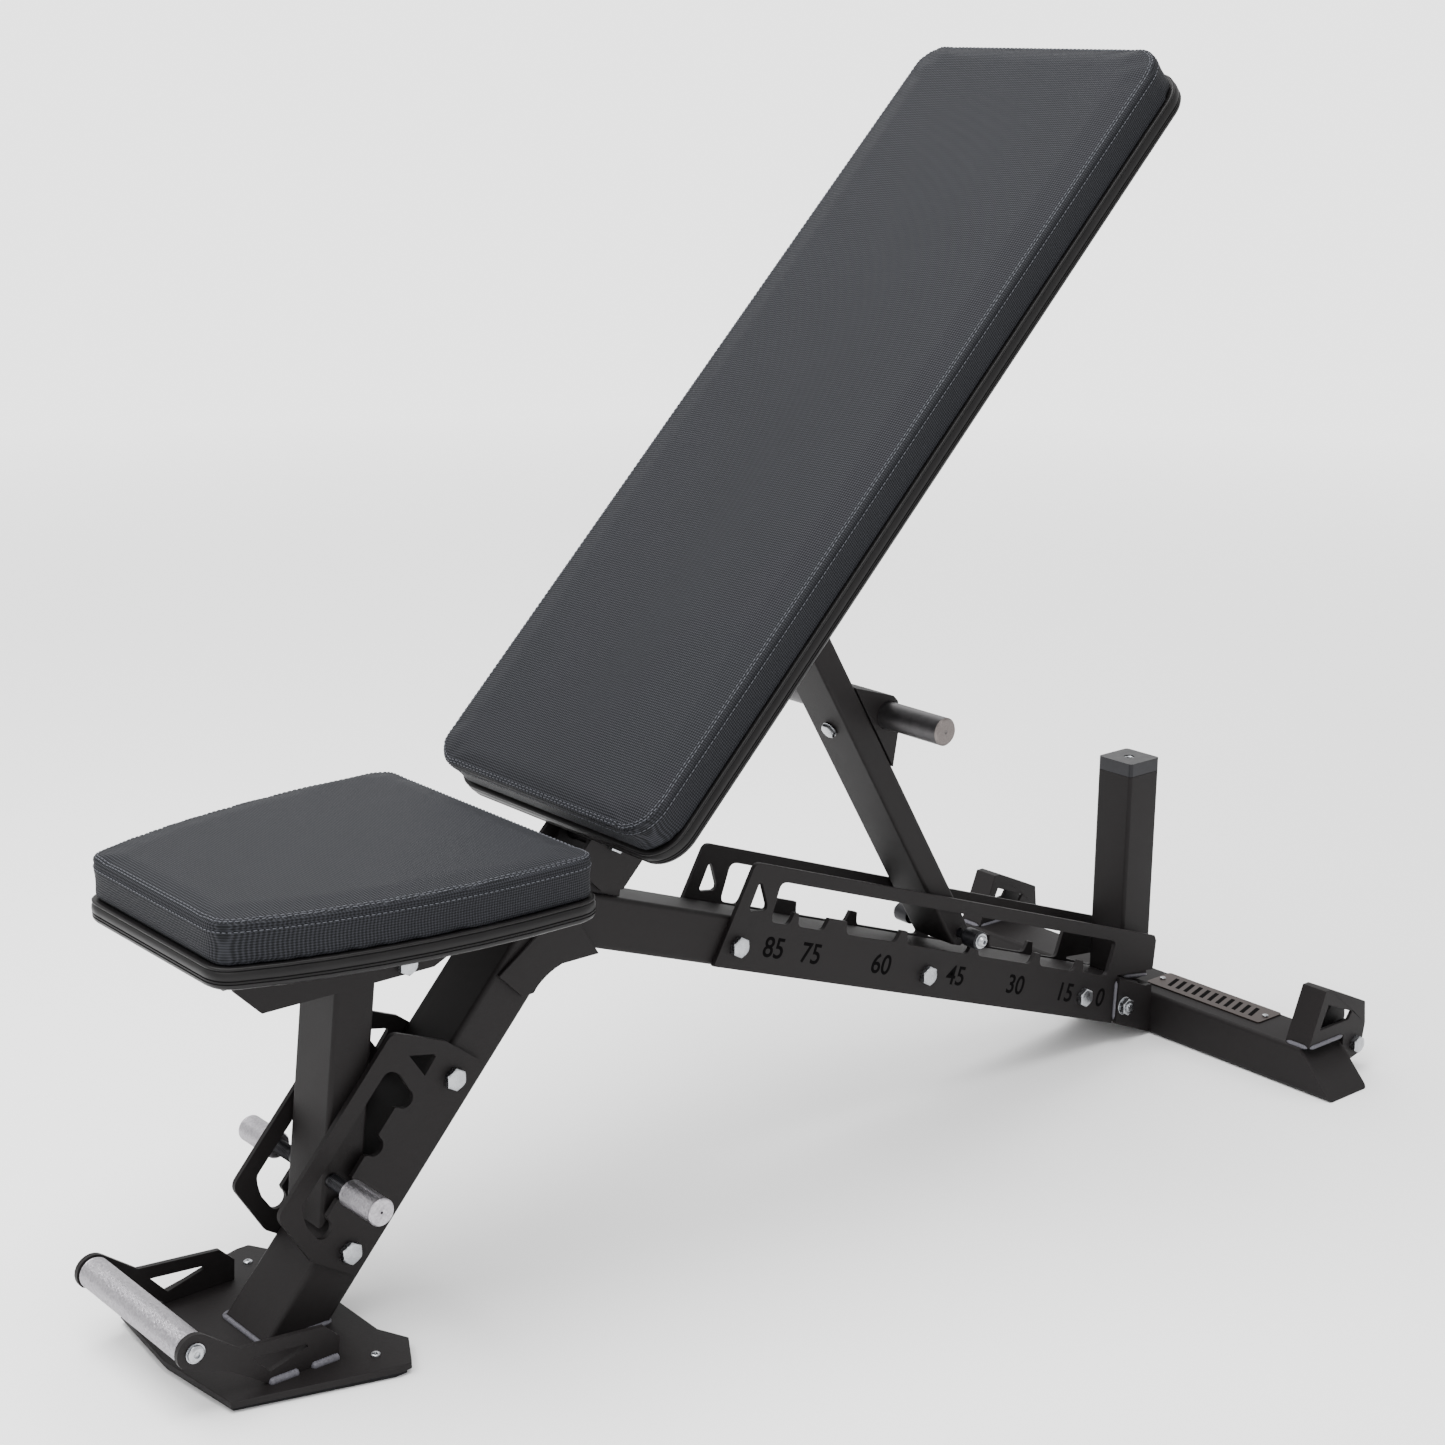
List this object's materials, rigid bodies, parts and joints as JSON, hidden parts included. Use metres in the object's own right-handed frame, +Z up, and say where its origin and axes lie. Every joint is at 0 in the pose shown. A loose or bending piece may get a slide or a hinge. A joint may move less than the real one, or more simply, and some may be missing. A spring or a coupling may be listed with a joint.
{
  "type": "adjustable weight bench",
  "caption": "Padded bench with a reclining back held by a strut in a notched ladder, a tilting seat, a lifting grip at the foot and transport wheels at the rear.",
  "frame": {"origin": "on the floor, under the middle of the bench", "axes": "+X from the foot grip to the rear wheels, +Y across the bench, +Z up"},
  "size_m": [1.362, 0.59, 1.088],
  "materials": {
    "powder_coat": "fine satin powder coat",
    "zinc": "bright zinc plating",
    "black_steel": "black oxide",
    "knurled_grip": "fine knurl",
    "fabric": "coarse basket weave",
    "trim": "ribbed band",
    "rubber": "moulded",
    "bare_steel": "browned sheet"
  },
  "bodies": {
    "frame": {"leg_tube": "powder_coat", "spine_tube": "powder_coat", "corner_plate_near": "powder_coat", "corner_plate_far": "powder_coat", "rear_ladder_near": "powder_coat", "rear_ladder_far": "powder_coat", "front_ladder_near": "powder_coat", "front_ladder_far": "powder_coat", "base_plate": "powder_coat", "handle_cheek_near": "powder_coat", "handle_cheek_far": "powder_coat", "rear_cross_tube": "powder_coat", "saddle_bracket": "powder_coat", "upright_tube": "powder_coat", "wheel_bracket_near": "powder_coat", "wheel_bracket_far": "powder_coat", "back_hinge_lug": "powder_coat", "seat_hinge_lug": "powder_coat", "rear_ladder_bolt_front": "zinc", "rear_ladder_bolt_middle": "zinc", "rear_ladder_bolt_rear": "zinc", "front_ladder_bolt_upper": "zinc", "front_ladder_bolt_lower": "zinc", "saddle_bolt": "zinc", "handle_screw_near": "zinc", "handle_screw_far": "zinc", "wheel_axle_near": "zinc", "wheel_axle_far": "zinc", "seat_pivot_bolt": "zinc", "base_rubber": "rubber", "foot_grip": "knurled_grip", "name_plate": "bare_steel", "upright_cap": "black_steel"},
    "back_pivot": {"back_pivot_bolt": "zinc"},
    "backrest": {"back_pad": "fabric", "back_board": "trim", "back_channel": "powder_coat", "back_mount_plate_lower": "powder_coat", "back_mount_plate_upper": "powder_coat", "back_bolt_lower_near": "zinc", "back_bolt_lower_far": "zinc", "back_bolt_upper_near": "zinc", "back_bolt_upper_far": "zinc"},
    "strut_pivot": {"strut_pivot_bolt": "zinc"},
    "strut": {"strut_tube": "powder_coat", "strut_hub": "powder_coat", "strut_bolt": "zinc", "strut_handle_bar": "black_steel", "strut_pin": "black_steel"},
    "seat": {"seat_pad": "fabric", "seat_board": "trim", "seat_bracket": "powder_coat", "seat_stop_bolt": "zinc", "seat_post_bolt": "zinc"},
    "seat_post": {"seat_post": "powder_coat", "seat_pin": "black_steel", "seat_grip_near": "knurled_grip", "seat_grip_far": "knurled_grip"},
    "wheel_near": {"wheel_near": "rubber"},
    "wheel_far": {"wheel_far": "rubber"}
  },
  "joints": [
    {"name": "back_recline", "type": "hinge", "parent": "frame", "child": "back_pivot", "pos_m": [-0.187, 0, 0.385], "axis": [0, -1, 0], "range_deg": [-45.7, 0]},
    {"name": "back_raise", "type": "hinge", "parent": "back_pivot", "child": "backrest", "pos_m": [-0.187, 0, 0.385], "axis": [0, -1, 0], "range_deg": [0, 39.3]},
    {"name": "strut_fold", "type": "hinge", "parent": "backrest", "child": "strut_pivot", "pos_m": [0.045, 0, 0.565], "axis": [0, -1, 0], "range_deg": [0, 73.1]},
    {"name": "strut_unfold", "type": "hinge", "parent": "strut_pivot", "child": "strut", "pos_m": [0.045, 0, 0.565], "axis": [0, -1, 0], "range_deg": [-47.2, 0]},
    {"name": "seat_tilt", "type": "hinge", "parent": "frame", "child": "seat", "pos_m": [-0.297, 0, 0.358], "axis": [0, 1, 0], "range_deg": [-13.6, 12.3]},
    {"name": "seat_post_swing", "type": "hinge", "parent": "seat", "child": "seat_post", "pos_m": [-0.46, 0, 0.345], "axis": [0, -1, 0], "range_deg": [-22.7, 20.6]},
    {"name": "wheel_near_spin", "type": "hinge", "parent": "frame", "child": "wheel_near", "pos_m": [0.659, -0.244, 0.034], "axis": [0, 1, 0], "continuous": true},
    {"name": "wheel_far_spin", "type": "hinge", "parent": "frame", "child": "wheel_far", "pos_m": [0.659, 0.244, 0.034], "axis": [0, 1, 0], "continuous": true}
  ],
  "couplings": [
    {"joint": "strut_fold", "follows": "back_recline", "ratio": -1.5967},
    {"joint": "strut_unfold", "follows": "back_raise", "ratio": -1.1977},
    {"joint": "seat_post_swing", "follows": "seat_tilt", "ratio": 1.6634}
  ]
}
